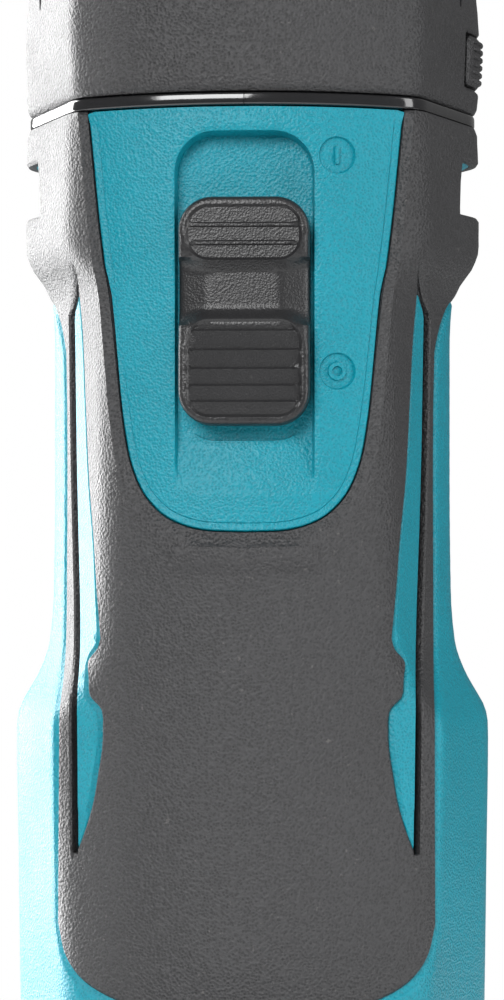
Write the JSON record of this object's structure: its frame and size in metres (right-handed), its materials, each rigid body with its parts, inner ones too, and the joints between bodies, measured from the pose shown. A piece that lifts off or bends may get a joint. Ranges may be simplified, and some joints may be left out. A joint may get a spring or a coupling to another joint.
{
  "type": "rotary hobby tool",
  "caption": "Cordless rotary tool standing on its slide-off battery, with a recessed slide switch, spindle lock and collet nose.",
  "frame": {"origin": "on the spindle axis, in the plane of the battery pack's flat base", "axes": "+Z along the spindle from the base to the collet, -Y towards the face with the slide switch, +X towards the spindle lock button"},
  "size_m": [0.0784, 0.112, 0.275],
  "materials": {
    "shell_teal": "fine spark-eroded texture",
    "grip_rubber": "soft-touch overmould, fine leather grain",
    "panel_teal": "fine texture, smoother in the switch recess",
    "knob_black": "satin moulded",
    "ring_black": "polished",
    "inner_plastic": "as moulded",
    "nose_metal": "die cast and turned",
    "spindle_steel": "ground",
    "black_steel": "black oxide",
    "bearing_steel": "polished",
    "lamination": "stacked sheet",
    "winding": "enamelled copper wire",
    "magnet": "nickel plated",
    "board": "solder mask",
    "chip": "moulded package",
    "capacitor": "printed sleeve",
    "lead": "silicone insulation",
    "contact": "tin plated",
    "pack_black": "fine texture",
    "button_grey": "ribbed",
    "cell": "shrink sleeve on a metal can",
    "strap": "nickel strip",
    "spring_steel": "drawn wire",
    "screw_steel": "black zinc"
  },
  "bodies": {
    "tool": {"housing_left": "shell_teal", "housing_right": "shell_teal", "grip_left": "grip_rubber", "grip_right": "grip_rubber", "switch_panel": "panel_teal", "power_switch": "inner_plastic", "neck_ring_left": "ring_black", "neck_ring_right": "ring_black", "head_cover": "grip_rubber", "nose_housing": "nose_metal", "bearing_retainer": "spindle_steel", "lock_spring": "spring_steel", "front_bearing_outer": "bearing_steel", "front_bearing_balls": "bearing_steel", "rear_bearing_outer": "bearing_steel", "rear_bearing_balls": "bearing_steel", "stator_core": "lamination", "stator_coils": "winding", "sensor_board": "board", "fan_baffle": "inner_plastic", "controller_tray": "inner_plastic", "controller_board": "board", "power_transistors": "chip", "filter_capacitor": "capacitor", "motor_leads": "lead", "switch_leads": "lead", "battery_leads": "lead", "battery_receiver": "inner_plastic", "terminal_block": "inner_plastic", "terminal_blades": "contact", "housing_screws": "screw_steel", "nose_screws": "screw_steel"},
    "switch": {"switch_knob": "knob_black", "slide_bar": "inner_plastic", "switch_slider": "inner_plastic"},
    "spindle": {"spindle": "spindle_steel", "lock_collar": "spindle_steel", "front_bearing_inner": "bearing_steel", "rear_bearing_inner": "bearing_steel", "rotor_core": "lamination", "rotor_magnets": "magnet", "cooling_fan": "inner_plastic"},
    "collet": {"collet": "spindle_steel"},
    "nut": {"collet_nut": "black_steel"},
    "lock": {"lock_button": "grip_rubber", "lock_pin": "spindle_steel"},
    "battery": {"pack_base": "pack_black", "pack_cover": "pack_black", "pack_screws": "screw_steel", "battery_cells": "cell", "cell_frame": "inner_plastic", "cell_straps": "strap", "pack_board": "board", "pack_contacts": "contact", "release_spring": "spring_steel"},
    "release": {"release_button": "button_grey"}
  },
  "joints": [
    {"name": "switch_slide", "type": "slide", "parent": "tool", "child": "switch", "axis": [0, 0, 1], "range_m": [0, 0.007]},
    {"name": "spindle_spin", "type": "hinge", "parent": "tool", "child": "spindle", "pos_m": [0, 0, 0.2], "axis": [0, 0, 1], "continuous": true},
    {"name": "collet_slide", "type": "slide", "parent": "spindle", "child": "collet", "axis": [0, 0, 1], "range_m": [0, 0.003]},
    {"name": "collet_nut_turn", "type": "hinge", "parent": "collet", "child": "nut", "pos_m": [0, 0, 0.265], "axis": [0, 0, 1], "range_deg": [0, 1080]},
    {"name": "lock_press", "type": "slide", "parent": "tool", "child": "lock", "axis": [-1, 0, 0], "range_m": [0, 0.0032], "stiffness_N_per_m": 800, "springref_m": -0.003, "deforming": ["lock_spring"]},
    {"name": "battery_slide", "type": "slide", "parent": "tool", "child": "battery", "axis": [0, -1, 0], "range_m": [0, 0.085]},
    {"name": "battery_release", "type": "slide", "parent": "battery", "child": "release", "axis": [0, 0, -1], "range_m": [0, 0.003], "stiffness_N_per_m": 800, "springref_m": -0.003, "deforming": ["release_spring"]}
  ],
  "couplings": [
    {"joint": "collet_nut_turn", "follows": "collet_slide", "rad_per_m": 6280}
  ]
}
